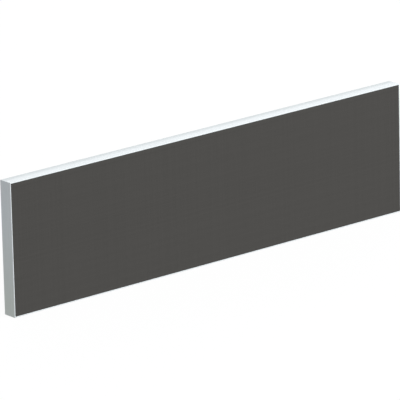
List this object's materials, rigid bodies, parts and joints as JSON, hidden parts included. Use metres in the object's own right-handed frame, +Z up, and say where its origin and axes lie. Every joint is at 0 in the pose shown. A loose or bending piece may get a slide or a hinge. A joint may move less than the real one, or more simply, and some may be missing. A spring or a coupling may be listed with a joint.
{
  "type": "desk divider panel",
  "caption": "Upright rectangular desk divider: fabric-covered boards in a thin mitred white aluminium frame, with slotted foot and sliding nuts for desk brackets.",
  "frame": {"origin": "middle of the panel's foot, on the surface that it stands on", "axes": "+X along the panel to its right end, +Y from the front face to the rear face, +Z up"},
  "size_m": [1.4, 0.044, 0.38],
  "materials": {
    "frame": "satin powder coat in a cool white on extruded aluminium",
    "corner_key": "bare die cast",
    "screw_steel": "black oxide",
    "board": "bare soft fibreboard",
    "fabric": "plain woven charcoal cloth, matt",
    "core": "needled polyester wadding",
    "nylon": "moulded, matt",
    "nut_steel": "bright zinc plate"
  },
  "bodies": {
    "panel": {"bottom_rail": "frame", "top_rail": "frame", "left_stile": "frame", "right_stile": "frame", "corner_key_bottom_left": "corner_key", "corner_key_bottom_right": "corner_key", "corner_key_top_left": "corner_key", "corner_key_top_right": "corner_key", "corner_grub_screws": "screw_steel", "front_board": "board", "rear_board": "board", "front_fabric": "fabric", "rear_fabric": "fabric", "front_panel_clips": "nylon", "rear_panel_clips": "nylon", "acoustic_core": "core"},
    "left_fixing": {"left_nut_carrier": "nylon", "left_fixing_nut": "nut_steel"},
    "right_fixing": {"right_nut_carrier": "nylon", "right_fixing_nut": "nut_steel"}
  },
  "joints": [
    {"name": "left_fixing_slide", "type": "slide", "parent": "panel", "child": "left_fixing", "axis": [1, 0, 0], "range_m": [-0.0765, 0.0765]},
    {"name": "right_fixing_slide", "type": "slide", "parent": "panel", "child": "right_fixing", "axis": [1, 0, 0], "range_m": [-0.0765, 0.0765]}
  ]
}
